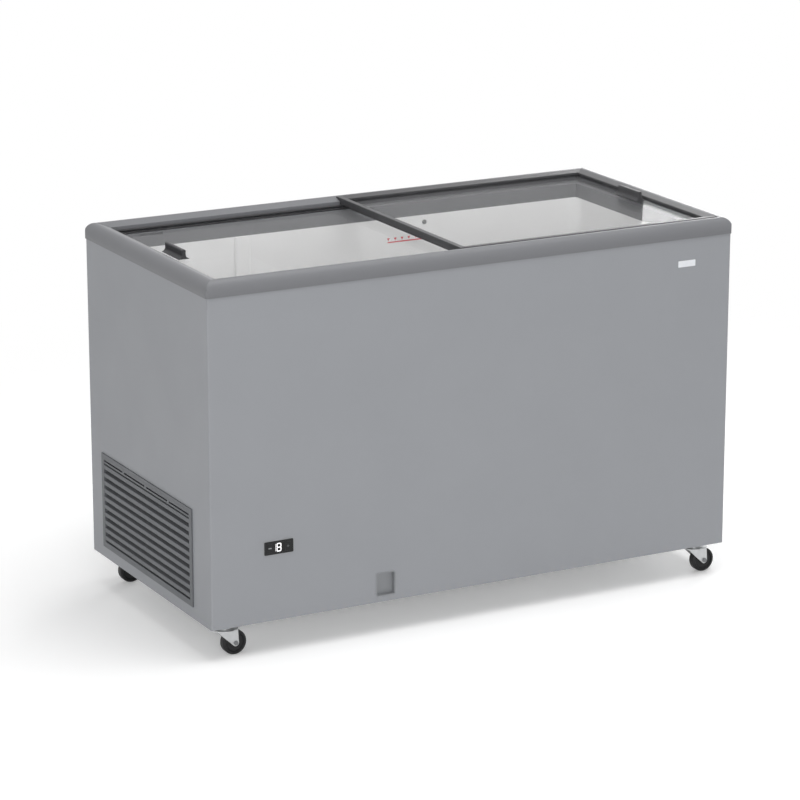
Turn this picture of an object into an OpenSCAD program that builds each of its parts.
// Glass-top chest freezer on casters, built piece by piece at real size, in millimetres.
// X runs left to right, Y front to back, Z up from the floor. The origin is under the middle.

/* [Cabinet] */
// Width of the steel cabinet, left to right
cab_w = 1300; // [1200:10:1500]
// Depth of the steel cabinet, front to back
cab_d = 640; // [620:5:700]
// Height of the steel cabinet, bottom edge to top frame
cab_h = 730; // [700:5:800]
// Thickness of the cabinet's sheet steel
skin_t = 1; // [0.8:0.1:1.4]
// Outside radius of the cabinet's upright edges
corner_r = 4; // [3:0.5:6]
// Insulated wall, outer steel face to inner tank face
wall_t = 57; // [55:1:65]
// Insulation under the tank floor
floor_t = 55; // [50:1:70]
// Insulation between the machine bay and the tank
bay_ins = 56; // [50:1:65]
// Thickness of the base pan
pan_t = 2; // [1.5:0.1:3]

/* [Tank] */
// Thickness of the white inner tank
liner_t = 1; // [0.8:0.1:1.4]
// Radius of the tank's upright corners
liner_r = 30; // [20:1:45]
// Diameter of the cooling tube round the tank
evap_d = 8; // [6:0.5:9]
// Number of turns of cooling tube
evap_turns = 7; // [6:1:8]
// Distance of the top turn of cooling tube below the tank's rim
evap_low = 97; // [90:1:125]

/* [Machine bay] */
// Length of the machine bay along the cabinet
bay_w = 319; // [315:1:340]
// Height of the machine bay above the base pan
bay_h = 252; // [250:1:280]
// Thickness of the folded sheet that lines the bay
bulk_t = 1; // [0.8:0.1:1.4]
// Radius of the compressor's can
comp_r = 78; // [70:1:80]
// Height of the compressor's can
comp_h = 170; // [150:1:175]
// Radius of the fan blades
fan_r = 88; // [80:1:90]
// Number of fan blades
fan_blades = 7; // [4:1:9]
// Gap between the blade tips and the shroud ring
fan_gap = 5; // [3:0.5:6]
// Number of condenser fins
fin_count = 26; // [12:1:26]
// Distance from fin to fin
fin_pitch = 10; // [7:0.5:10]
// Radius of the fan motor's shaft
shaft_r = 4; // [3:0.5:5]

/* [Top frame] */
// How far the top frame stands out past the steel
rail_over = 3; // [3:0.5:6]
// Height of the frame's crest above the steel's top edge
rail_h = 37; // [36:0.5:41]
// How far the frame reaches down inside the tank's mouth
rail_skirt = 22; // [18:1:30]
// Width of the frame's rounded outer nose, seen from above
nose_w = 20; // [18:1:22]
// Height of the upper part of the frame's rounded nose
nose_h = 28; // [26:1:30]
// Fall of the frame's top face towards the tank, in degrees
rail_slope = 20; // [18:1:22]
// Distance from the frame's outer face to the step that holds the lower lid
step_u = 45; // [43:1:46]
// Height of the lower lid's ledge above the steel's top edge
ledge_z = 11; // [9:0.5:12]
// Depth of the frame's groove over the steel's edge
groove_d = 10; // [6:0.5:10]
// Radius of the frame's upright corners
frame_r = 9; // [6:1:14]

/* [Sliding lids] */
// Thickness of the tempered glass
glass_t = 4; // [3.5:0.5:5]
// Sliding clearance between a lid and the frame
slide_gap = 0.4; // [0.3:0.1:0.6]
// Width of the lower lid's edge trim
trim_w = 9; // [8:0.5:11]
// Depth that glass sits in its edge trim
glass_bite = 4; // [3:0.5:5]
// Height from the lower glass's top to the upper glass's underside
lid_gap = 5.6; // [5:0.2:7]
// Distance from the frame's outer face to the upper lid's edge
rim_u = 27; // [26:1:30]
// Width of the bar along the upper lid's free edge
bar_w = 13; // [12:1:16]
// Distance of the bar's left face from the middle of the freezer
bar_off = 33; // [28:1:40]
// Wall of the bar's hollow section
bar_wall = 2; // [1.5:0.5:3]
// Reach of the lower lid past the middle of the freezer
lid_lap = 4; // [2:1:8]
// Width of the profile along the lower lid's free edge
end_w = 18; // [16:1:22]
// Length of each handle
grip_l = 90; // [70:5:120]
// Height of each handle
grip_h = 21; // [18:1:24]
// Width of each handle's fin
grip_w = 9; // [7:0.5:11]
// Radius of the flare at a handle's foot
grip_flare = 8; // [6:0.5:10]
// Distance from a lid's end edge to the middle of its handle
grip_in = 32; // [29:1:40]

/* [Grilles] */
// Width of the side grille, front to back
grille_w = 484; // [380:1:500]
// Height of both grilles
grille_h = 221; // [190:1:225]
// Distance of the side grille's front edge from the cabinet's front
grille_front = 90; // [60:1:110]
// Height of the grilles' lower edge above the cabinet's bottom edge
grille_up = 27; // [22:1:30]
// Distance of the rear grille's outer edge from the cabinet's left face
rear_in = 30; // [26:1:40]
// Distance between the rear grille and the machine bay's end wall
rear_end = 30; // [28:1:40]
// Number of louvre blades in a grille
blade_rows = 10; // [6:1:12]
// Thickness of a louvre blade
blade_t = 2; // [1.6:0.1:2.6]
// Height of a louvre blade's outer face
blade_face = 10; // [8:0.5:11]
// Depth of a louvre blade, outside to inside
blade_d = 12; // [9:0.5:13]
// Thickness of a grille's flange
flange_t = 3; // [2:0.5:4]
// Width of a grille's border
border = 13; // [10:0.5:14]
// Height of the slit row under the upper border
slit_h = 4; // [3:0.5:6]

/* [Controls] */
// Width of the control panel
panel_w = 69; // [64:1:76]
// Height of the control panel
panel_h = 30; // [28:1:34]
// Distance of the panel's left edge from the cabinet's left face
panel_in = 126; // [100:1:140]
// Height of the panel's middle above the cabinet's bottom edge
panel_up = 165; // [140:1:190]
// Thickness of the control panel's face
panel_t = 2; // [1.5:0.5:3]
// Width of a key
key_w = 12; // [10:0.5:13]
// Height of the keys and of the display
key_h = 20; // [17:0.5:21]
// Width of the display
show_w = 25; // [20:0.5:27]
// Gap round a key
key_gap = 0.3; // [0.2:0.05:0.4]

/* [Drain] */
// Distance of the drain cap's middle from the cabinet's left face
drain_in = 420; // [415:1:460]
// Height of the drain cap's middle above the cabinet's bottom edge
drain_up = 40; // [34:1:42]
// Width of the drain cap's recess
cap_w = 43; // [36:1:50]
// Height of the drain cap's recess
cap_h = 50; // [44:1:54]
// Depth of the drain cap's recess
cap_deep = 11; // [8:0.5:14]
// Thickness of the drain cap's rim on the steel
cap_t = 1; // [0.6:0.1:2]
// Width of the drain cap's rim round its recess
cap_rim = 3; // [2.5:0.5:5]
// Bore of the drain tube
drain_d = 18; // [14:1:20]

/* [Casters] */
// Height of a caster, floor to cabinet
caster_h = 76; // [74:1:84]
// Diameter of a wheel
wheel_d = 56; // [50:1:57]
// Width of a wheel
wheel_w = 20; // [16:1:22]
// Distance of the axle behind the swivel pin
trail = 21; // [18:1:24]
// Distance of a swivel pin from the cabinet's end faces
caster_in_x = 50; // [46:1:60]
// Distance of a swivel pin from the cabinet's front and back
caster_in_y = 45; // [44:1:60]
// Side of a caster's square plate
plate_w = 60; // [58:1:64]
// Distance between the plate's screw holes
plate_pitch = 44; // [43:1:46]
// Diameter of an axle
axle_d = 6; // [5:0.5:7]
// Diameter of a swivel pin
king_d = 10; // [8:0.5:11]
// Radial running clearance of wheels and swivels
run_gap = 0.05; // [0.03:0.01:0.08]

/* [Hidden] */
$fn = 48;

// Colours
cabinet_grey = "#94969a";
frame_grey = "#7c7d80";
trim_grey = "#4d4d4f";
grille_grey = "#5f6062";
tank_white = "#e9e9e7";
foam_cream = "#e6dcb4";
zinc = "#b9bbbd";
black = "#222224";
glass_tint = [0.75, 0.85, 0.85, 0.35];
copper = "#b4764a";

// Cabinet levels and faces
eps = 0.01;
half_w = cab_w / 2;
half_d = cab_d / 2;
base_z = caster_h;
cab_top = base_z + cab_h;
skin_x = half_w - skin_t;
skin_y = half_d - skin_t;
pan_top = base_z + pan_t;
bay_x = bay_w - skin_x;
bay_top = pan_top + bay_h;
tank_x = half_w - wall_t;
tank_y = half_d - wall_t;
tank_floor = pan_top + floor_t + liner_t;
shelf_z = bay_top + bay_ins + liner_t;
step_x = bay_x + bay_ins + liner_t;
liner_lip = 8;
liner_top = cab_top - rail_skirt;

// Top frame: u is measured inwards from the frame's outer face, z up from the steel's top edge
frame_x = half_w + rail_over;
frame_y = half_d + rail_over;
inner_u = rail_over + wall_t;
nose_start = -asin((rail_h - nose_h - 1) / nose_h);
nose_end = 90 + atan(tan(rail_slope) * nose_w / nose_h);
function nose(t) = [nose_w * (1 - cos(t)), rail_h - nose_h + nose_h * sin(t)];
function rail_top(u) = nose(nose_end)[1] - (u - nose(nose_end)[0]) * tan(rail_slope);
function spread(a, b, n) = [for (i = [0:n]) a + (b - a) * i / n];
function arc(x, y, r, a, b, n = 6) = [for (t = spread(a, b, n)) [x + r * cos(t), y + r * sin(t)]];

// Small pocket in the back frame's inner wall
pocket_x = -545;
pocket_w = 58;
pocket_h = 5;
pocket_d = 3;
pocket_z = cab_top + 4;

// Lids: heights above the steel's top edge
edge_gap = 1;
sole_t = 4.6;
end_crown = 0.5;
trim_u = step_u + edge_gap;
low_z = ledge_z + slide_gap;
low_glass = low_z + sole_t;
low_top = low_glass + glass_t;
trim_top = low_top + 2;
high_glass = low_top + lid_gap;
high_top = high_glass + glass_t;
rim_gap = slide_gap + 0.2;
rim_t = 1.6;
rim_top = rail_top(rim_u) + rim_gap + rim_t;
rim_in = trim_u + 2;
rim_end = trim_u + 4;
grip_back = 23;
bar_x = -bar_off;
bar_z = trim_top + end_crown + 1;
end_x = lid_lap - end_w;
end_bite = 8;
seal_gap = 0.3;
seal_w = 6;
seal_base = 0.8;
lip_w = 2;
shelf_t = 1.2;
low_end_x = -frame_x + trim_u;

// Machine bay
vent_count = 6;
vent_w = 10;
vent_l = 70;
coil_x = -half_w + 20;
coil_t = 40;
coil_h = 200;
coil_rows = 5;
coil_pitch = 40;
coil_r = 4;
coil_z = pan_top + 18;
coil_y = -80;
coil_cols = [10, 30];
fin_t = 0.8;
coil_l = (fin_count - 1) * fin_pitch + fin_t;
fan_z = coil_z + coil_h / 2;
ring_t = 2;
ring_d = 20;
shroud_x = coil_x + coil_t + 1;
arm_x = shroud_x + 42;
arm_w = 14;
arm_t = 3;
post_r = 5;
hub_r = 26;
hub_h = 20;
motor_r = 38;
motor_l = 46;
comp_x = bay_x - comp_r - 22;
comp_y = skin_y - comp_r - 76;
foot_pitch = [130, 150];
tray_h = 10;
tray_t = 2.5;
foot_up = 8;
foot_hole = 8;
grommet_r = 13;
foot_z = pan_top + tray_h + foot_up;
foot_t = 3;
can_z = foot_z + foot_t;
can_step = 2;
relay = [44, 52, 46];
tray_edge = 22;
pipe_r = 3.5;
lead_y = tank_y + liner_t + evap_d / 2;
lead_in_x = bay_x - 140;
lead_out_x = bay_x - 70;
lead_in_y = lead_y + evap_d + 4;
lead_z = bay_top - 30;
evap_z = shelf_z + 24;
evap_top = liner_top - evap_low;
evap_pitch = (evap_top - evap_z) / (evap_turns - 1);
probe_x = -290;
ramp_w = 120;
ramp_x = probe_x - 20;

// Grilles and panel
grille_y = grille_front - half_d;
grille_z = base_z + grille_up;
rear_x = rear_in - half_w;
rear_w = bay_w + skin_t - rear_in - rear_end;
collar_t = 2;
collar_gap = 0.5;
slit_bar = 4;
slit_tie = 8;
blade_sink = 0.4;
blade_rise = 3;
rib_t = 2;
rib_d = 6;
panel_x = panel_in - half_w;
panel_z = base_z + panel_up - panel_h / 2;
box_wall = 1.5;
box_rim = 2.5;
box_d = 40;
key_edge = 7;
key_proud = 0.4;
lip_t = 1;
lip_e = 0.8;

// Drain
drain_x = drain_in - half_w;
drain_z = base_z + drain_up;
drain_y = 72 - half_d;
tube_r = drain_d / 2 + 2;
spigot_l = 14;
spigot_gap = 0.3;
cap_wall = 1.2;
cap_back = cap_deep + cap_wall;
cap_gap = 0.3;

// Probe cover
probe_w = 40;
probe_h = 210;
probe_d = 7;
bulb_r = 2.5;
bulb_l = 66;
bulb_y = tank_y - bulb_r - 0.3;
bulb_z = evap_top - evap_pitch / 2;

// Casters
pad_w = plate_w + 24;
pad_t = 2.5;
seat_gap = 1;
cplate_t = 2.5;
screw_r = 3;
screw_gap = 0.1;
head_h = 4;
race_r = 23;
race_top = pan_top - cplate_t;
race_h = 7;
fork_t = 2.5;
fork_z = wheel_d + 4;
ear_gap = 1.5;
ear_t = 2;
ear_y = wheel_w / 2 + ear_gap;
ear_r = 7.5;
saucer_r = 30;
neck_r = 15;
ear_w = sqrt(pow(saucer_r, 2) - pow(ear_y + ear_t, 2)) - 0.3;
spots = [for (sy = [-1, 1], sx = [-1, 1]) [sx * (half_w - caster_in_x), sy * (half_d - caster_in_y)]];
holes = [for (sx = [-1, 1], sy = [-1, 1]) [sx * plate_pitch / 2, sy * plate_pitch / 2]];

// A flat outline with round corners, centred
module round_rect(w, d, r) {
  union() {
    square([w - 2 * r, d], center = true);
    square([w, d - 2 * r], center = true);
    for (sx = [-1, 1], sy = [-1, 1])
      translate([sx * (w / 2 - r), sy * (d / 2 - r)]) circle(r);
  }
}

// An upright block with round corners, its base at z
module round_block(w, d, r, z, h) {
  translate([0, 0, z]) linear_extrude(h) round_rect(w, d, r);
}

// A round bar between two points
module rod(p, q, r) {
  v = q - p;
  len = norm(v);
  translate(p) rotate([0, acos(v[2] / len), atan2(v[1], v[0])]) cylinder(h = len, r = r);
}

// A bent tube through a few points
module pipe(points, r) {
  for (i = [1:len(points) - 1]) rod(points[i - 1], points[i], r);
  for (i = [1:1:len(points) - 2]) translate(points[i]) sphere(r);
}

// A section drawn as (y, z) and drawn out along X, from x0 to x1
module along_x(section, x0, x1) {
  translate([x0, 0, 0]) rotate([90, 0, 90]) linear_extrude(x1 - x0) polygon(section);
}

// A section drawn as (x, z) and drawn out along Y, from y0 to y1
module along_y(section, y0, y1) {
  translate([0, y1, 0]) rotate([90, 0, 0]) linear_extrude(y1 - y0) polygon(section);
}

// Puts a frame side in place: 0 front, 1 right, 2 back, 3 left
module at_side(i) {
  rotate([0, 0, 90 * i]) translate([0, i % 2 == 0 ? -frame_y : -frame_x, cab_top]) children();
}

// The tank's inner form, grown outwards by g
module tank_form(g) {
  d = 2 * (tank_y + g);
  round_block(2 * (tank_x + g), d, liner_r + g, shelf_z - g, liner_top - shelf_z + g);
  translate([(tank_x + step_x) / 2, 0, 0]) round_block(tank_x - step_x + 2 * g, d, liner_r + g,
    tank_floor - g, shelf_z - tank_floor + 2 * g);
}

// The space that a grille's collar passes through
module grille_hole(w) {
  reach = collar_t + collar_gap - border;
  translate([-reach, -1, -reach])
    cube([w + 2 * reach, skin_t + 2, grille_h + 2 * reach]);
}

module side_grille_place() {
  translate([-half_w, grille_y + grille_w, grille_z]) rotate([0, 0, -90]) children();
}

module rear_grille_place() {
  translate([rear_x + rear_w, half_d, grille_z]) rotate([0, 0, 180]) children();
}

// Four walls of sheet steel with rounded edges
module steel_wrap(z, h) {
  difference() {
    round_block(cab_w, cab_d, corner_r, z, h);
    round_block(2 * skin_x, 2 * skin_y, corner_r - skin_t, z - 1, h + 2);
  }
}

// Outer steel wrap with its openings for grilles, panel, drain and supply
module cabinet_shell() {
  color(cabinet_grey) difference() {
    steel_wrap(base_z, cab_h + groove_d);
    side_grille_place() grille_hole(grille_w);
    rear_grille_place() grille_hole(rear_w);
    translate([panel_x + box_rim, -half_d - 1, panel_z + box_rim])
      cube([panel_w - 2 * box_rim, skin_t + 2, panel_h - 2 * box_rim]);
    cap_block(skin_t + 2, 1, cap_gap);
    translate([gland_x, half_d + 1, gland_z]) rotate([90, 0, 0]) cylinder(h = skin_t + 2, r = gland_r);
  }
}

// Block of the drain cap's cup, from out in front of the steel, w deep, grown by g
module cap_block(w, out, g) {
  translate([drain_x, w - out - half_d, drain_z]) rotate([90, 0, 0]) linear_extrude(w)
    round_rect(cap_w + 2 * (cap_wall + g), cap_h + 2 * (cap_wall + g), 4);
}

// Bottom pan with a window for each caster plate and vents under the machine bay
module base_pan() {
  color(zinc) difference() {
    round_block(2 * skin_x, 2 * skin_y, corner_r - skin_t, base_z, pan_t);
    for (p = spots) translate([p[0], p[1], base_z - 1]) linear_extrude(pan_t + 2)
      square(plate_w + 2 * seat_gap, center = true);
    for (i = [0:vent_count - 1]) translate([comp_x - 90 + 30 * i, coil_y + 10, base_z - 1])
      linear_extrude(pan_t + 2) round_rect(vent_w, vent_l, vent_w / 2 - 0.1);
  }
}

// Strengthening plates welded inside the pan, that the casters screw to
module caster_pads() {
  color(zinc) for (p = spots) difference() {
    translate([p[0], p[1], pan_top + pad_t / 2]) cube([pad_w, pad_w, pad_t], center = true);
    for (h = holes) translate([p[0] + h[0], p[1] + h[1], pan_top - 1])
      cylinder(h = pad_t + 2, r = screw_r);
  }
}

// One ring-shaped channel in the foam round a turn of cooling tube
module foam_channel(z) {
  deep = liner_t + evap_d;
  round_block(2 * (tank_x + deep), 2 * (tank_y + deep), liner_r + deep, z - evap_d / 2, evap_d);
}

// Moulded insulation between the steel and the tank
module insulation_foam() {
  color(foam_cream) difference() {
    round_block(2 * skin_x, 2 * skin_y, corner_r - skin_t, pan_top, liner_top - pan_top);
    tank_form(liner_t);
    liner_flange(1);
    translate([-half_w, -half_d, base_z]) cube([bay_x + half_w, cab_d, bay_top - base_z]);
    for (i = [0:evap_turns - 1]) foam_channel(evap_z + i * evap_pitch);
    translate([lead_out_x - evap_d, tank_y, evap_z - evap_pitch - evap_d / 2])
      cube([ramp_x + ramp_w - lead_out_x + 2 * evap_d, liner_t + evap_d,
        evap_top - evap_z + evap_pitch + evap_d]);
    translate([lead_out_x, lead_y, bay_top - 1]) cylinder(h = evap_z - evap_pitch - bay_top + 1, d = evap_d);
    translate([lead_in_x - evap_d / 2, tank_y, bay_top - 1])
      cube([evap_d, lead_in_y - tank_y + evap_d / 2, evap_top + evap_d / 2 - bay_top + 1]);
    translate([drain_x, drain_y, drain_z]) sphere(tube_r);
    translate([drain_x, drain_y, drain_z]) cylinder(h = tank_floor - drain_z, r = tube_r);
    translate([drain_x, drain_y, drain_z]) rotate([90, 0, 0])
      cylinder(h = drain_y + half_d, r = tube_r);
    cap_block(cap_back + cap_gap + 1, 1, cap_gap);
    for (p = spots) translate([p[0] - pad_w / 2, p[1] - pad_w / 2, base_z])
      cube([pad_w, pad_w, pan_t + pad_t]);
    for (p = spots, h = holes) translate([p[0] + h[0], p[1] + h[1], base_z])
      cylinder(h = screw_end - base_z, r = screw_r);
    probe_lead();
  }
}

// The tank's flat flange, which lies on the foam under the top frame
module liner_flange(more) {
  translate([0, 0, liner_top - liner_t]) linear_extrude(liner_t + more)
    square([2 * (tank_x + liner_lip), 2 * (tank_y + liner_lip)], center = true);
}

// White inner tank with a flange, stepped over the machine bay, with its drain hole
module inner_liner() {
  color(tank_white) difference() {
    union() {
      tank_form(liner_t);
      liner_flange(0);
    }
    tank_form(0);
    round_block(2 * tank_x, 2 * tank_y, liner_r, liner_top - 1, 2);
    translate([drain_x, drain_y, tank_floor - 5]) cylinder(h = 10, d = drain_d);
    probe_lead();
  }
}

// Folded sheet between the bay and the foam, with holes for the cooling tubes
module bay_bulkhead() {
  color(zinc) difference() {
    intersection() {
      translate([-skin_x, -skin_y, pan_top]) cube([bay_w, 2 * skin_y, bay_h]);
      round_block(2 * skin_x, 2 * skin_y, corner_r - skin_t, pan_top, bay_h);
    }
    translate([-half_w, -half_d, 0]) cube([bay_x - bulk_t + half_w, cab_d, bay_top - bulk_t]);
    for (p = [[lead_in_x, lead_in_y], [lead_out_x, lead_y]]) translate([p[0], p[1], bay_top - 5])
      cylinder(h = 10, d = evap_d + 1);
    for (p = spots) translate([p[0] - pad_w / 2, p[1] - pad_w / 2, base_z])
      cube([pad_w, pad_w, pan_t + pad_t]);
  }
}

// Section of the top frame, outer nose first, then the slope, the lid's step and the groove
rail_section = concat(
  [nose(nose_start)], [for (t = spread(0, nose_end, 15)) nose(t)],
  [[step_u, rail_top(step_u)], [step_u, ledge_z], [inner_u, ledge_z], [inner_u, -rail_skirt],
    [rail_over + skin_t, -rail_skirt], [rail_over + skin_t, groove_d], [rail_over, groove_d],
    [rail_over, nose(nose_start)[1]]]);

// One mitred length of the top frame
module rail(i) {
  half = i % 2 == 0 ? frame_x : frame_y;
  color(frame_grey) difference() {
    intersection() {
      at_side(i) intersection() {
        along_x(rail_section, -half, half);
        translate([0, 0, -rail_skirt - 1]) linear_extrude(rail_skirt + rail_h + 2)
          polygon([[-half, 0], [half, 0], [half - inner_u, inner_u], [inner_u - half, inner_u]]);
      }
      round_block(2 * frame_x, 2 * frame_y, frame_r, base_z, cab_h + rail_h + 10);
    }
    steel_wrap(cab_top - rail_skirt - 1, rail_skirt + groove_d + 1);
    if (i == 2) translate([pocket_x, half_d - wall_t - 1, pocket_z])
      cube([pocket_w, pocket_d + 1, pocket_h]);
  }
}

module frame_front() { rail(0); }
module frame_right() { rail(1); }
module frame_back() { rail(2); }
module frame_left() { rail(3); }

// One louvre blade's section: an upright face with round edges, and a roof that rises inwards
function blade_section() = let (y = blade_sink - flange_t, r = blade_t / 2, f = blade_face)
  concat(arc(y + r, r, r, 270, 180, 3), arc(y + r, f - r, r, 180, 90, 3),
    [[y + blade_t, f], [y + blade_d, f + blade_rise], [y + blade_d, f + blade_rise - blade_t],
      [y + blade_t, f - blade_t], [y + blade_t, 0]]);

// Moulded louvre grille: flange, collar, slanted blades, slit row, ribs and clips
module louvre_panel(w) {
  slit_z = grille_h - border - slit_h;
  field = slit_z - slit_bar - border;
  pitch = field / blade_rows;
  depth = blade_d + 2;
  difference() {
    translate([0, -flange_t, 0]) cube([w, flange_t, grille_h]);
    translate([border, -flange_t - 1, border]) cube([w - 2 * border, flange_t + 2, field]);
    translate([border, -flange_t - 1, slit_z]) cube([w - 2 * border, flange_t + 2, slit_h]);
  }
  difference() {
    translate([border - collar_t, 0, border - collar_t])
      cube([w - 2 * border + 2 * collar_t, depth, grille_h - 2 * border + 2 * collar_t]);
    translate([border, -1, border]) cube([w - 2 * border, depth + 2, field]);
    translate([border, -1, slit_z]) cube([w - 2 * border, depth + 2, slit_h]);
  }
  for (i = [0:blade_rows - 1])
    translate([0, 0, border + (pitch - blade_face) / 2 + i * pitch])
      along_x(blade_section(), border - eps, w - border + eps);
  for (i = [1:3]) translate([(i * w - 2 * rib_t) / 4, depth - 1 - rib_d, border - eps])
    cube([rib_t, rib_d, grille_h - 2 * border + 2 * eps]);
  for (i = [1:3]) translate([(i * w - 2 * slit_tie) / 4, -flange_t, slit_z - eps])
    cube([slit_tie, flange_t, slit_h + 2 * eps]);
  for (side = [0, 1], i = [1, 3]) translate([0, 0, side * grille_h]) mirror([0, 0, side])
    along_x([[skin_t + 0.1, border - collar_t + eps], [skin_t + 0.1, border - collar_t - 1.5],
      [depth, border - collar_t + eps]], i * w / 4 - 8, i * w / 4 + 8);
}

module side_grille() { color(grille_grey) side_grille_place() louvre_panel(grille_w); }
module rear_grille() { color(grille_grey) rear_grille_place() louvre_panel(rear_w); }

// Raised tray that carries the compressor
module compressor_tray() {
  w = foot_pitch[0] + 2 * tray_edge;
  d = foot_pitch[1] + 2 * tray_edge;
  color(zinc) translate([comp_x, comp_y, pan_top]) difference() {
    translate([-w / 2, -d / 2, 0]) cube([w, d, tray_h]);
    translate([-w / 2 + tray_t, -d, -1]) cube([w - 2 * tray_t, 2 * d, tray_h - tray_t + 1]);
    for (p = feet()) translate([p[0], p[1], 0]) cylinder(h = tray_h + 1, r = 3.5);
  }
}

function feet() = [for (sx = [-1, 1], sy = [-1, 1]) [sx * foot_pitch[0] / 2, sy * foot_pitch[1] / 2]];

// Rubber grommets under the compressor's feet
module compressor_grommets() {
  color(black) translate([comp_x, comp_y, pan_top + tray_h])
    for (p = feet()) translate([p[0], p[1], 0]) rotate_extrude()
      polygon([[0, 0], [grommet_r, 0], [grommet_r, 5], [grommet_r - 2, foot_up], [foot_hole, foot_up],
        [foot_hole, foot_up + foot_t], [grommet_r - 2, foot_up + foot_t],
        [grommet_r - 4, foot_up + foot_t + 5], [0, foot_up + foot_t + 5]]);
}

// Welded compressor can on its foot plate, with its stub tubes
module compressor() {
  seam = can_z + comp_h * 0.45;
  color(black) difference() {
    union() {
      translate([comp_x, comp_y, 0]) {
        rotate_extrude($fn = 64) polygon(concat([[0, can_z]],
          arc(comp_r - can_step - 12, can_z + 12, 12, 270, 360),
          [[comp_r - can_step, seam - 3], [comp_r, seam - 3], [comp_r, seam + 3],
            [comp_r - 2 * can_step, seam + 3]],
          arc(comp_r - 2 * can_step - 30, can_z + comp_h - 30, 30, 0, 90), [[0, can_z + comp_h]]));
        translate([0, 0, foot_z]) linear_extrude(foot_t)
          round_rect(foot_pitch[0] + 36, foot_pitch[1] + 36, 18);
      }
      rod([comp_x, comp_y - comp_r + 20, stub_z], [comp_x, stub_y0, stub_z], pipe_r + 1);
      rod([comp_x, comp_y + comp_r - 20, stub_z], [comp_x, stub_y1, stub_z], pipe_r + 1);
    }
    for (p = feet()) translate([comp_x + p[0], comp_y + p[1], foot_z - 1])
      cylinder(h = foot_t + 2, r = foot_hole);
  }
}
stub_z = can_z + comp_h * 0.45 + 20;
stub_y0 = comp_y - comp_r - 14;
stub_y1 = comp_y + comp_r + 12;

// Terminal and start relay cover on the compressor's side
module relay_box() {
  color(black) difference() {
    translate([comp_x - comp_r - 24, comp_y - relay[1] / 2, can_z + 18]) cube(relay);
    translate([comp_x, comp_y, can_z]) cylinder(h = comp_h, r = comp_r - can_step, $fn = 64);
  }
}

// Condenser tube: two banks of straight runs joined by return bends
module condenser_tubes() {
  y0 = coil_y - coil_l / 2 - 6;
  y1 = coil_y + coil_l / 2 + 6;
  r_bend = coil_pitch / 2;
  color(copper) {
    for (c = coil_cols, i = [0:coil_rows - 1])
      rod([coil_x + c, y0, tube_z(i)], [coil_x + c, y1, tube_z(i)], coil_r);
    for (c = coil_cols, i = [0:coil_rows - 2]) {
      front = i % 2 == 1;
      translate([coil_x + c, front ? y0 : y1, tube_z(i) + r_bend])
        rotate([0, 90, 0]) rotate([0, 0, front ? 180 : 0]) rotate_extrude(angle = 180)
          translate([r_bend, 0]) circle(coil_r);
    }
    translate([coil_x + (coil_cols[0] + coil_cols[1]) / 2, y1, tube_z(coil_rows - 1)])
      rotate_extrude(angle = 180) translate([(coil_cols[1] - coil_cols[0]) / 2, 0]) circle(coil_r);
  }
}
function tube_z(i) = coil_z + coil_h / 2 + (i - (coil_rows - 1) / 2) * coil_pitch;

// Aluminium fins on the condenser tubes, the two end plates standing on the pan
module condenser_fins() {
  color("#c3c6c8") difference() {
    for (i = [0:fin_count - 1]) {
      end = i == 0 || i == fin_count - 1;
      z0 = end ? pan_top : coil_z;
      translate([coil_x, coil_y - coil_l / 2 + i * fin_pitch, z0])
        cube([coil_t, fin_t, coil_z + coil_h - z0]);
    }
    for (c = coil_cols, i = [0:coil_rows - 1])
      rod([coil_x + c, coil_y - coil_l, tube_z(i)], [coil_x + c, coil_y + coil_l, tube_z(i)], coil_r);
  }
}

// Shroud plate behind the condenser, with its ring round the blades
module fan_shroud() {
  r = fan_r + fan_gap;
  color(black) difference() {
    union() {
      translate([shroud_x - 1, coil_y - coil_l / 2, pan_top])
        cube([ring_t + 1, coil_l, coil_z + coil_h - pan_top]);
      translate([shroud_x, coil_y, fan_z]) rotate([0, 90, 0]) cylinder(h = ring_d, r = r + ring_t, $fn = 64);
      for (a = [0:90:270]) translate([shroud_x, coil_y, fan_z]) rotate([a, 0, 0])
        translate([0, 0, r + ring_t + post_r - 1]) rotate([0, 90, 0])
          cylinder(h = arm_x - shroud_x, r = post_r);
    }
    translate([shroud_x - 5, coil_y, fan_z]) rotate([0, 90, 0]) cylinder(h = ring_d + 10, r = r, $fn = 64);
  }
}

// Cross-shaped bracket that holds the motor behind the blades
module fan_bracket() {
  reach = fan_r + fan_gap + ring_t + 2 * post_r;
  color(zinc) difference() {
    for (a = [0, 90]) translate([arm_x, coil_y, fan_z]) rotate([a, 0, 0])
      translate([0, -arm_w / 2, -reach]) cube([arm_t, arm_w, 2 * reach]);
    translate([arm_x - 1, coil_y, fan_z]) rotate([0, 90, 0]) cylinder(h = arm_t + 2, r = shaft_r + 2);
  }
}

// Fan motor with its shaft
module fan_motor() {
  color("#8a8c8e") translate([arm_x + arm_t, coil_y, fan_z]) rotate([0, 90, 0]) {
    cylinder(h = motor_l, r = motor_r);
    translate([0, 0, motor_l]) cylinder(h = 6, r = motor_r - 14);
    translate([0, 0, 2 - arm_t - hub_h - 8]) cylinder(h = hub_h + 8 + arm_t, r = shaft_r);
  }
}

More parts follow.
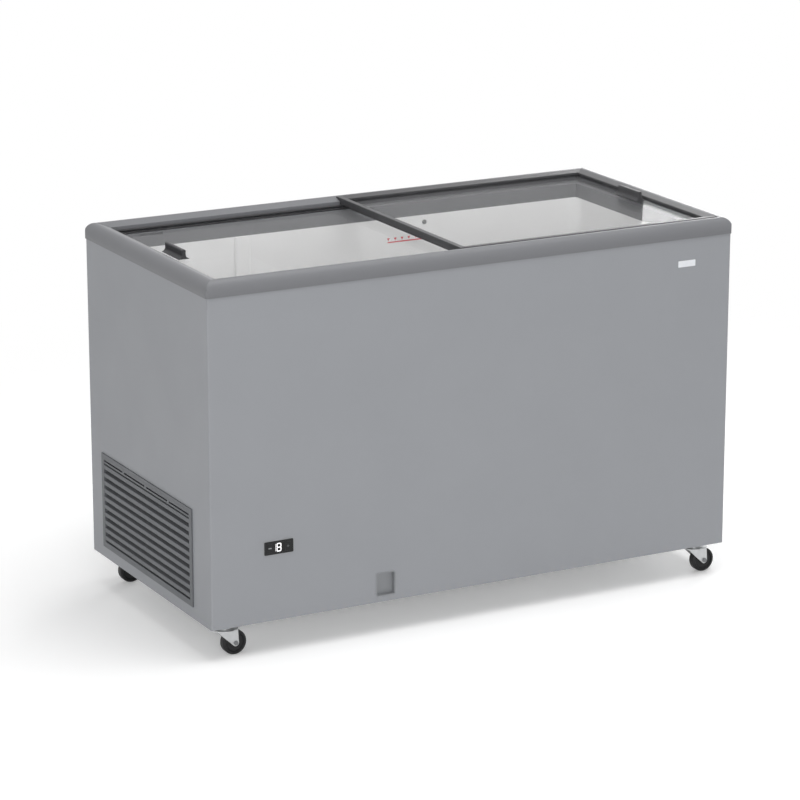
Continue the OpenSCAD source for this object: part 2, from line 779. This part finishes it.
// Fan wheel: hub with a bore for the shaft, and pitched blades
module fan_blade() {
  color("#8f9194") translate([arm_x - 6 - hub_h, coil_y, fan_z]) rotate([0, 90, 0]) difference() {
    union() {
      cylinder(h = hub_h, r = hub_r);
      intersection() {
        cylinder(h = hub_h, r = fan_r, $fn = 64);
        for (i = [0:fan_blades - 1]) rotate([0, 0, i * 360 / fan_blades])
          translate([fan_r / 2, 0, hub_h / 2]) rotate([28, 0, 0])
            translate([-fan_r / 2, -24, -0.9]) cube([fan_r + 4, 48, 1.8]);
      }
    }
    translate([0, 0, -1]) cylinder(h = hub_h + 2, r = shaft_r + run_gap);
  }
}

// Filter drier in the liquid line
module filter_drier() {
  color(copper) translate([lead_in_x, drier_y, drier_z]) rotate_extrude()
    polygon([[0, 0], [4.5, 0], [11, 12], [11, drier_l - 12], [4.5, drier_l], [0, drier_l]]);
}
drier_y = coil_y + 62;
drier_z = pan_top + 40;
drier_l = 90;

// Copper lines between compressor, condenser, drier and cooling tube
module refrigerant_pipes() {
  y_end = coil_y - coil_l / 2 - 6;
  y_turn = y_end - 36;
  low = pan_top + 14;
  z1 = tube_z(0);
  x0 = coil_x + coil_cols[0];
  x1 = coil_x + coil_cols[1];
  color(copper) {
    pipe([[comp_x, stub_y0, stub_z], [comp_x, stub_y0 - 30, stub_z], [comp_x, stub_y0 - 30, z1],
      [comp_x, y_turn, z1], [x0, y_turn, z1], [x0, y_end, z1]], pipe_r);
    pipe([[x1, y_end, z1], [x1, y_end - 16, z1], [x1, y_end - 16, low], [lead_in_x, y_end - 16, low],
      [lead_in_x, drier_y, low], [lead_in_x, drier_y, drier_z]], pipe_r);
    pipe([[lead_in_x, drier_y, drier_z + drier_l], [lead_in_x, drier_y, lead_z],
      [lead_in_x, lead_in_y, lead_z], [lead_in_x, lead_in_y, lead_z + 10]], pipe_r);
    pipe([[lead_out_x, lead_y, lead_z + 10], [lead_out_x, lead_y, stub_z], [comp_x, lead_y, stub_z],
      [comp_x, stub_y1, stub_z]], pipe_r);
  }
}

// Cooling tube wound round the outside of the tank, with its two leads into the bay
module evaporator_coil() {
  r = evap_d / 2;
  x = tank_x + liner_t + r;
  y = lead_y;
  bend = liner_r + liner_t + r;
  ramp_end = ramp_x + ramp_w;
  last = evap_turns - 1;
  color(copper) {
    for (i = [0:last]) translate([0, 0, evap_z + i * evap_pitch]) {
      rod([bend - x, -y, 0], [x - bend, -y, 0], r);
      for (s = [-1, 1]) rod([s * x, bend - y, 0], [s * x, y - bend, 0], r);
      rod([bend - x, y, 0], [i == last ? lead_in_x : ramp_x, y, 0], r);
      rod([ramp_end, y, 0], [x - bend, y, 0], r);
      for (k = [0:3])
        translate([(k == 0 || k == 3 ? 1 : -1) * (x - bend), (k < 2 ? 1 : -1) * (y - bend), 0])
          rotate([0, 0, 90 * k]) rotate_extrude(angle = 90) translate([bend, 0]) circle(r);
    }
    for (i = [-1:last - 1]) translate([ramp_x, y, evap_z + i * evap_pitch]) {
      rod([0, 0, 0], [ramp_w, 0, evap_pitch], r);
      sphere(r);
      translate([ramp_w, 0, evap_pitch]) sphere(r);
    }
    pipe([[lead_out_x, y, lead_z + 10], [lead_out_x, y, evap_z - evap_pitch],
      [ramp_x, y, evap_z - evap_pitch]], r);
    pipe([[lead_in_x, lead_in_y, lead_z + 10], [lead_in_x, lead_in_y, evap_top],
      [lead_in_x, y, evap_top]], r);
    translate([lead_in_x, y, evap_top]) sphere(r);
  }
}

// Drain tube from the tank's floor to the front
module drain_tube() {
  color("#d9d9d6") difference() {
    union() {
      translate([drain_x, drain_y, drain_z]) sphere(tube_r);
      translate([drain_x, drain_y, drain_z]) cylinder(h = tank_floor - liner_t - drain_z, r = tube_r);
      translate([drain_x, drain_y, drain_z]) rotate([90, 0, 0])
        cylinder(h = drain_y + half_d - cap_back - cap_gap, r = tube_r);
    }
    translate([drain_x, drain_y, drain_z]) sphere(drain_d / 2);
    translate([drain_x, drain_y, drain_z]) cylinder(h = tank_floor - drain_z, d = drain_d);
    translate([drain_x, drain_y, drain_z]) rotate([90, 0, 0]) cylinder(h = drain_y + half_d, d = drain_d);
  }
}

// Pull-off drain cap: a recessed cup with a rim on the steel and a hollow spigot in the tube
module drain_cap() {
  spigot_r = drain_d / 2 - spigot_gap;
  color("#7e8182") difference() {
    union() {
      translate([drain_x, -half_d, drain_z]) rotate([90, 0, 0]) {
        linear_extrude(cap_t) round_rect(cap_w + 2 * cap_rim, cap_h + 2 * cap_rim, 5);
        translate([0, 0, -cap_back - spigot_l]) cylinder(h = spigot_l + 0.5, r = spigot_r);
      }
      cap_block(cap_back, 0, 0);
    }
    translate([drain_x, -half_d, drain_z]) rotate([90, 0, 0]) {
      translate([0, 0, -cap_deep]) linear_extrude(cap_deep + cap_t + 1) round_rect(cap_w, cap_h, 3);
      translate([0, 0, -cap_back - spigot_l - 1]) cylinder(h = spigot_l, r = spigot_r - 2);
    }
  }
}

// Plastic box behind the control panel
module control_housing() {
  w = panel_w - 2 * box_rim - 0.4;
  h = panel_h - 2 * box_rim - 0.4;
  color(black) translate([panel_x + panel_w / 2, -half_d, panel_z + panel_h / 2]) difference() {
    translate([-w / 2, 0, -h / 2]) cube([w, box_d, h]);
    translate([box_wall - w / 2, -1, box_wall - h / 2])
      cube([w - 2 * box_wall, box_d - box_wall + 1, h - 2 * box_wall]);
  }
}

// Places a thing at the middle of the panel, on the cabinet's front face, with +Z out of it
module on_panel(dx) {
  translate([panel_x + panel_w / 2 + dx, -half_d, panel_z + panel_h / 2]) rotate([90, 0, 0]) children();
}
key_dx = panel_w / 2 - key_edge - key_w / 2;

// Face of the control panel, with openings for two keys and the display
module control_bezel() {
  color(black) on_panel(0) difference() {
    linear_extrude(panel_t) round_rect(panel_w, panel_h, 2);
    for (s = [-1, 1]) translate([s * key_dx, 0, -1])
      linear_extrude(panel_t + 2) square([key_w + 2 * key_gap, key_h + 2 * key_gap], center = true);
    translate([0, 0, -1]) linear_extrude(panel_t + 2) square([show_w, key_h], center = true);
  }
}

// Smoked window over the temperature display
module display_window() {
  color([0.1, 0.1, 0.12, 0.8]) on_panel(0) {
    linear_extrude(panel_t - 0.2) square([show_w, key_h], center = true);
    translate([0, 0, -lip_t]) linear_extrude(lip_t) square([show_w + 2 * lip_e, key_h + 0.4], center = true);
  }
}

// One push key, with the flange that keeps it behind the panel
module key(s) {
  color("#2c2c2e") on_panel(s * key_dx) {
    translate([0, 0, -key_gap]) linear_extrude(panel_t + key_gap + key_proud)
      square([key_w, key_h], center = true);
    translate([0, 0, -key_gap - lip_t]) linear_extrude(lip_t)
      square([key_w + 2 * lip_e, key_h - 0.6], center = true);
  }
}
module key_down() { key(-1); }
module key_up() { key(1); }

// Shallow rounded cover over the temperature probe, on the tank's back wall
module probe_cover() {
  color(tank_white) translate([probe_x, tank_y, liner_top - probe_h]) difference() {
    linear_extrude(probe_h) polygon(concat([[-probe_w / 2, 0]],
      arc(-probe_w / 2 + probe_d, 0, probe_d, 180, 270), arc(probe_w / 2 - probe_d, 0, probe_d, 270, 360)));
    translate([0, 0, 2]) linear_extrude(probe_h - 4) polygon(concat([[1.5 - probe_w / 2, 1]],
      arc(-probe_w / 2 + probe_d, 0, probe_d - 1.5, 180, 270),
      arc(probe_w / 2 - probe_d, 0, probe_d - 1.5, 270, 360), [[probe_w / 2 - 1.5, 1]]));
  }
}

// Sensor bulb with its lead through the tank wall into the foam
module temperature_probe() {
  color(zinc) {
    translate([probe_x, bulb_y, bulb_z + 8 - bulb_l]) cylinder(h = bulb_l, r = bulb_r);
    probe_lead();
  }
}
module probe_lead() {
  translate([probe_x, bulb_y, bulb_z]) rotate([-90, 0, 0]) cylinder(h = 20, r = 2);
}

// Cable gland in the back of the machine bay
gland_r = 8;
gland_bore = 4;
gland_x = bay_x - rear_end / 2;
gland_out = 2.6;
gland_z = base_z + 30;
module cable_gland() {
  color(black) translate([gland_x, half_d + gland_out, gland_z]) rotate([90, 0, 0]) difference() {
    union() {
      cylinder(h = gland_out, r = gland_r + 3);
      cylinder(h = gland_out + 10, r = gland_r);
      translate([0, 0, gland_out + skin_t]) cylinder(h = 5, r = gland_r + 4, $fn = 6);
    }
    translate([0, 0, -1]) cylinder(h = 16, r = gland_bore);
  }
}

// Lower, left lid
module lid_left_glass() {
  x0 = low_end_x + trim_w - glass_bite - 3;
  y = frame_y - trim_u - trim_w + glass_bite + 3;
  color(glass_tint) translate([x0, -y, cab_top + low_glass])
    cube([end_x + end_bite - x0, 2 * y, glass_t]);
}

// Section of the channel trim that grips the lower glass
module lid_left_trim() {
  g0 = trim_u + trim_w - glass_bite - 3;
  g1 = trim_u + trim_w;
  section = [[trim_u, low_z], [trim_u, trim_top - 1], [trim_u + 1, trim_top], [g1, trim_top], [g1, low_top],
    [g0, low_top], [g0, low_glass], [g1, low_glass], [g1, low_z]];
  color(trim_grey) {
    for (i = [0, 2]) at_side(i) intersection() {
      along_x(section, -frame_x, frame_x);
      mirror([i / 2, 0, 0]) linear_extrude(rail_h) polygon([[end_x, trim_u], [end_x, g1],
        [g1 - frame_x, g1], [trim_u - frame_x, trim_u]]);
    }
    at_side(3) intersection() {
      along_x(section, -frame_y, frame_y);
      linear_extrude(rail_h) polygon([[trim_u - frame_y, trim_u], [g1 - frame_y, g1],
        [frame_y - g1, g1], [frame_y - trim_u, trim_u]]);
    }
  }
}

// Profile along the lower lid's right end, under the upper lid's bar
module lid_left_end() {
  y = frame_y - trim_u;
  color(trim_grey) translate([0, 0, cab_top]) along_y([[end_x, low_z], [lid_lap, low_z],
    [lid_lap, trim_top - 0.5], [lid_lap - 1, trim_top + end_crown], [end_x + 1, trim_top + end_crown],
    [end_x, trim_top - 0.5], [end_x, low_top], [end_x + end_bite, low_top],
    [end_x + end_bite, low_glass], [end_x, low_glass]], -y, y);
}

// Section of a soft lip: a flat base at height z and a thin lip up or down to its tip
function seal_section(x, z, tip) = let (foot = z + seal_base * sign(tip - z), a = seal_w / 2, b = lip_w / 2)
  [[x - a, z], [x + a, z], [x + a, foot], [x + b, foot], [x + b, tip], [x - b, tip], [x - b, foot],
    [x - a, foot]];

// Soft lip on the lower lid's end that closes the gap to the upper glass
module lid_left_seal() {
  y = frame_y - trim_u - 6;
  color(black) translate([0, 0, cab_top])
    along_y(seal_section(end_x + end_w / 2, trim_top + end_crown, high_glass - seal_gap), -y, y);
}

// A finger grip: a fin on a flared foot, centred on x, standing at height z
module grip(x, z) {
  half = grip_w / 2;
  f = grip_flare;
  r = grip_w / 3;
  color(trim_grey) translate([x, 0, cab_top + z]) along_y(concat(
    arc(half + f, f + 1, f, 270, 180), arc(half - r, grip_h - r, r, 0, 90),
    arc(r - half, grip_h - r, r, 90, 180), arc(-half - f, f + 1, f, 360, 270),
    [[-half - f, 0], [half + f, 0]]), -grip_l / 2, grip_l / 2);
}

module lid_left_handle() { grip(low_end_x + grip_in, low_top); }
module lid_right_handle() { grip(frame_x - rim_end - grip_back, high_top); }

// Upper, right lid
module lid_right_glass() {
  y = frame_y - rim_in;
  color(glass_tint) translate([bar_x + bar_w - glass_bite, -y, cab_top + high_glass])
    cube([frame_x - rim_in - bar_x - bar_w + glass_bite, 2 * y, glass_t]);
}

// Section of the upper lid's rim: a thin shelf over the frame's slope, gripping the glass
rim_section = [[rim_u, rail_top(rim_u) + rim_gap], [rim_u, rim_top - 0.8], [rim_u + 0.8, rim_top],
  [rim_end - 1.5, high_top + 5], [rim_end, high_top + 4], [rim_end, high_top], [rim_in, high_top],
  [rim_in, high_glass], [rim_end, high_glass], [rim_end, high_glass - shelf_t],
  [trim_u, high_glass - shelf_t], [trim_u, rail_top(trim_u) + rim_gap]];

module lid_right_rim() {
  x0 = bar_x + bar_w;
  color(trim_grey) {
    for (i = [0, 2]) at_side(i) intersection() {
      along_x(rim_section, -frame_x, frame_x);
      mirror([i / 2, 0, 0]) linear_extrude(rim_top + 1) polygon([[x0, rim_u], [frame_x - rim_u, rim_u],
        [frame_x - rim_end, rim_end], [x0, rim_end]]);
    }
    at_side(1) intersection() {
      along_x(rim_section, -frame_y, frame_y);
      linear_extrude(rim_top + 1) polygon([[rim_u - frame_y, rim_u], [frame_y - rim_u, rim_u],
        [frame_y - rim_end, rim_end], [rim_end - frame_y, rim_end]]);
    }
  }
}

// Hollow bar along the upper lid's free edge
module lid_right_bar() {
  x1 = bar_x + bar_w;
  y = frame_y - trim_u;
  w = bar_wall;
  color(trim_grey) translate([0, 0, cab_top]) difference() {
    along_y([[bar_x, bar_z], [bar_x, rim_top - 1], [bar_x + 1, rim_top], [x1 - 1, rim_top], [x1, rim_top - 1],
      [x1, high_top], [x1 - glass_bite, high_top], [x1 - glass_bite, high_glass], [x1, high_glass],
      [x1, bar_z]], -y, y);
    along_y([[bar_x + w, bar_z + w], [bar_x + w, rim_top - w], [x1 - glass_bite - w, rim_top - w],
      [x1 - glass_bite - w, bar_z + w]], -y - 1, y + 1);
  }
}

// Moulded caps that close the bar's ends and ride over the frame's slope
module lid_right_bar_caps() {
  section = [[rim_u, rail_top(rim_u) + rim_gap], [rim_u, rim_top], [trim_u, rim_top],
    [trim_u, rail_top(trim_u) + rim_gap]];
  color(trim_grey) for (i = [0, 2]) at_side(i) mirror([i / 2, 0, 0])
    along_x(section, bar_x, bar_x + bar_w);
}

// Soft lip under the bar that closes the gap to the lower glass
module lid_right_seal() {
  y = frame_y - trim_u - trim_w - 1;
  color(black) translate([0, 0, cab_top])
    along_y(seal_section(bar_x + bar_w / 2, bar_z, low_top + seal_gap), -y, y);
}

// Caster top plates with the upper race and the swivel pin, riveted under the fork
module caster_plates() {
  color(zinc) for (p = spots) translate([p[0], p[1], 0]) difference() {
    union() {
      translate([0, 0, race_top]) linear_extrude(cplate_t) round_rect(plate_w, plate_w, 5);
      translate([0, 0, race_top - race_h]) cylinder(h = race_h, r1 = race_r - 2, r2 = race_r + 1);
      translate([0, 0, fork_z - 1]) cylinder(h = race_top - fork_z + 1, d = king_d);
      translate([0, 0, fork_z - 3]) cylinder(h = 3 - 0.3, d = king_d + 6);
    }
    for (h = holes) translate([h[0], h[1], race_top - 1])
      cylinder(h = cplate_t + 2, r = screw_r + screw_gap);
  }
}

// Hex screws through the caster plates into the pads
screw_end = pan_top + pad_t + 3;
module caster_screws() {
  color("#cfd0d1") for (p = spots, h = holes) translate([p[0] + h[0], p[1] + h[1], 0]) {
    translate([0, 0, race_top]) cylinder(h = screw_end - race_top, r = screw_r);
    translate([0, 0, race_top - head_h]) cylinder(h = head_h, r = 5.7, $fn = 6);
  }
}

// The point where a line from (x, z) touches the round end of a fork's ear
function ear_touch(x, z, side) = let (v = [x - trail, z - wheel_d / 2],
  a = atan2(v[1], v[0]) + side * acos(ear_r / norm(v)))
  [trail + ear_r * cos(a), wheel_d / 2 + ear_r * sin(a)];

// Caster fork: a round top with a neck for the race, and two leaning ears
module fork(p) {
  top = fork_z + fork_t;
  color(zinc) translate([p[0], p[1], 0]) difference() {
    union() {
      translate([0, 0, fork_z]) cylinder(h = fork_t, r = saucer_r);
      translate([0, 0, fork_z]) cylinder(h = race_top - race_h - fork_z - 0.4, r = neck_r);
      for (y = [-ear_y - ear_t, ear_y]) along_y([[-ear_w, top], [ear_w, top],
        ear_touch(ear_w, top, -1), ear_touch(-ear_w, top, 1)], y, y + ear_t);
      for (y = [-ear_y - ear_t, ear_y]) translate([trail, y, wheel_d / 2]) rotate([-90, 0, 0])
        cylinder(h = ear_t, r = ear_r);
    }
    translate([0, 0, fork_z - 1]) cylinder(h = race_top - fork_z, r = king_d / 2 + run_gap);
    translate([trail, -ear_y - 5, wheel_d / 2]) rotate([-90, 0, 0])
      cylinder(h = 2 * ear_y + 10, r = axle_d / 2);
  }
}

// Axle bolt with its head and nut
module axle(p) {
  out = ear_y + ear_t;
  color("#cfd0d1") translate([p[0] + trail, p[1], wheel_d / 2]) rotate([90, 0, 0]) {
    translate([0, 0, -out - 4]) cylinder(h = 2 * out + 6, r = axle_d / 2);
    translate([0, 0, out]) cylinder(h = 3.2, r = axle_d * 0.9, $fn = 6);
    translate([0, 0, -out - 3.6]) cylinder(h = 3.6, r = axle_d * 0.9, $fn = 6);
  }
}

// Solid wheel with a rounded tread, a dished face and a hub
module wheel(p) {
  r = wheel_d / 2;
  h = wheel_w / 2;
  bore = axle_d / 2 + run_gap;
  color(black) translate([p[0] + trail, p[1], r]) rotate([90, 0, 0]) rotate_extrude($fn = 72)
    polygon(concat([[bore, -h - 0.8], [9, -h - 0.8], [9, 3 - h], [r - 8, 3 - h], [r - 6, -h]],
      arc(r - 4, 4 - h, 4, 270, 360, 5), arc(r - 4, h - 4, 4, 0, 90, 5),
      [[r - 6, h], [r - 8, h - 3], [9, h - 3], [9, h + 0.8], [bore, h + 0.8]]));
}

module fork_front_left() { fork(spots[0]); }
module fork_front_right() { fork(spots[1]); }
module fork_back_left() { fork(spots[2]); }
module fork_back_right() { fork(spots[3]); }
module axle_front_left() { axle(spots[0]); }
module axle_front_right() { axle(spots[1]); }
module axle_back_left() { axle(spots[2]); }
module axle_back_right() { axle(spots[3]); }
module wheel_front_left() { wheel(spots[0]); }
module wheel_front_right() { wheel(spots[1]); }
module wheel_back_left() { wheel(spots[2]); }
module wheel_back_right() { wheel(spots[3]); }

cabinet_shell();
base_pan();
caster_pads();
insulation_foam();
inner_liner();
bay_bulkhead();
frame_front();
frame_right();
frame_back();
frame_left();
side_grille();
rear_grille();
compressor_tray();
compressor();
compressor_grommets();
relay_box();
condenser_tubes();
condenser_fins();
fan_shroud();
fan_bracket();
fan_motor();
fan_blade();
filter_drier();
refrigerant_pipes();
evaporator_coil();
drain_tube();
drain_cap();
control_housing();
control_bezel();
display_window();
key_down();
key_up();
probe_cover();
temperature_probe();
cable_gland();
lid_left_glass();
lid_left_trim();
lid_left_end();
lid_left_seal();
lid_left_handle();
lid_right_glass();
lid_right_rim();
lid_right_bar();
lid_right_bar_caps();
lid_right_seal();
lid_right_handle();
caster_plates();
caster_screws();
fork_front_left();
fork_front_right();
fork_back_left();
fork_back_right();
axle_front_left();
axle_front_right();
axle_back_left();
axle_back_right();
wheel_front_left();
wheel_front_right();
wheel_back_left();
wheel_back_right();
